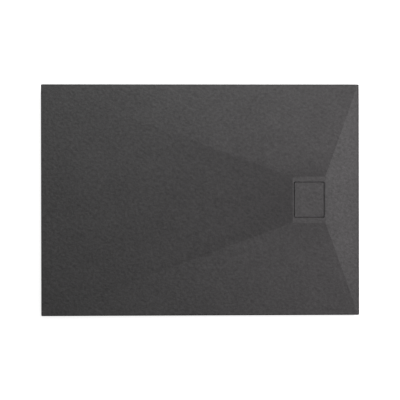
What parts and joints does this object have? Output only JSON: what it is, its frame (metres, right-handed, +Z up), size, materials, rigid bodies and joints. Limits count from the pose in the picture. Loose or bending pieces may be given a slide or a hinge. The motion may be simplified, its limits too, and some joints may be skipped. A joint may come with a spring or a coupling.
{
  "type": "shower tray",
  "caption": "Low rectangular shower tray with a slate relief, four floor facets that fall to a flush drain cover, and a removable dip-tube trap under it.",
  "frame": {"origin": "centre of the slab's flat underside, which is bedded on the floor", "axes": "+X along the length, towards the short end with the drain; +Y across the width; +Z up"},
  "size_m": [1.1, 0.8, 0.1512],
  "materials": {
    "slate_resin": "matte",
    "cover_resin": "matte",
    "pad_rubber": "matte",
    "flange_steel": "satin",
    "screw_steel": "satin",
    "gasket_rubber": "matte",
    "insert_brass": "satin",
    "trap_plastic": "satin",
    "tube_plastic": "satin",
    "ring_rubber": "satin",
    "strainer_steel": "satin",
    "knob_plastic": "satin",
    "pipe_plastic": "satin",
    "seal_rubber": "matte",
    "slip_plastic": "satin",
    "nut_plastic": "satin"
  },
  "bodies": {
    "tray": {"tray_slab": "slate_resin", "waste_flange": "flange_steel", "flange_screws": "screw_steel", "flange_gasket": "gasket_rubber", "body_gasket": "gasket_rubber", "screw_inserts": "insert_brass", "trap_head": "trap_plastic", "trap_bowl": "trap_plastic", "outlet_tail": "pipe_plastic", "outlet_seal": "seal_rubber", "slip_ring": "slip_plastic", "union_nut": "nut_plastic"},
    "trap_insert": {"dip_tube": "tube_plastic", "dip_tube_o_ring": "ring_rubber"},
    "strainer": {"hair_strainer": "strainer_steel", "strainer_knob": "knob_plastic"},
    "cover": {"drain_cover": "cover_resin", "cover_pads": "pad_rubber"}
  },
  "joints": [
    {"name": "dip_tube_lift", "type": "slide", "parent": "tray", "child": "trap_insert", "axis": [0, 0, 1], "range_m": [0, 0.15]},
    {"name": "strainer_lift", "type": "slide", "parent": "trap_insert", "child": "strainer", "axis": [0, 0, 1], "range_m": [0, 0.07]},
    {"name": "cover_lift", "type": "slide", "parent": "strainer", "child": "cover", "axis": [0, 0, 1], "range_m": [0, 0.1]}
  ]
}
